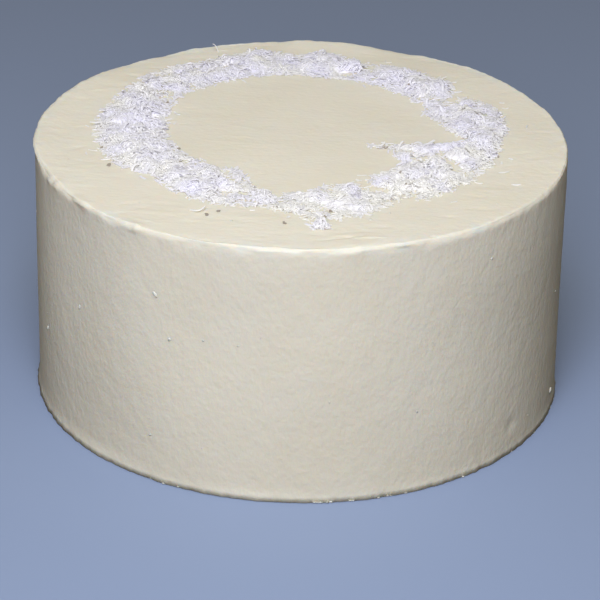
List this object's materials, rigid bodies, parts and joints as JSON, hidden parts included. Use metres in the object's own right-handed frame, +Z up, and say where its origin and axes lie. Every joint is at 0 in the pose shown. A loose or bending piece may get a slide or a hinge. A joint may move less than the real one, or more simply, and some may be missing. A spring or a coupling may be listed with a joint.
{
  "type": "chiffon cake",
  "caption": "Round cake iced all over in smooth cream buttercream, with a straight side, a flat top and a loose wreath of white shredded coconut lying on the top.",
  "frame": {"origin": "centre of the flat base that the cake stands on", "axes": "+Z up through the middle of the cake, -Y towards the picture's viewer, +X to the viewer's right"},
  "size_m": [0.2041, 0.2039, 0.1055],
  "materials": {
    "buttercream": "soft matte cream icing with faint scraper marks",
    "coconut": "matte white dried shreds"
  },
  "bodies": {
    "root": {"iced_cake": "buttercream", "coconut_wreath": "coconut"}
  },
  "joints": []
}
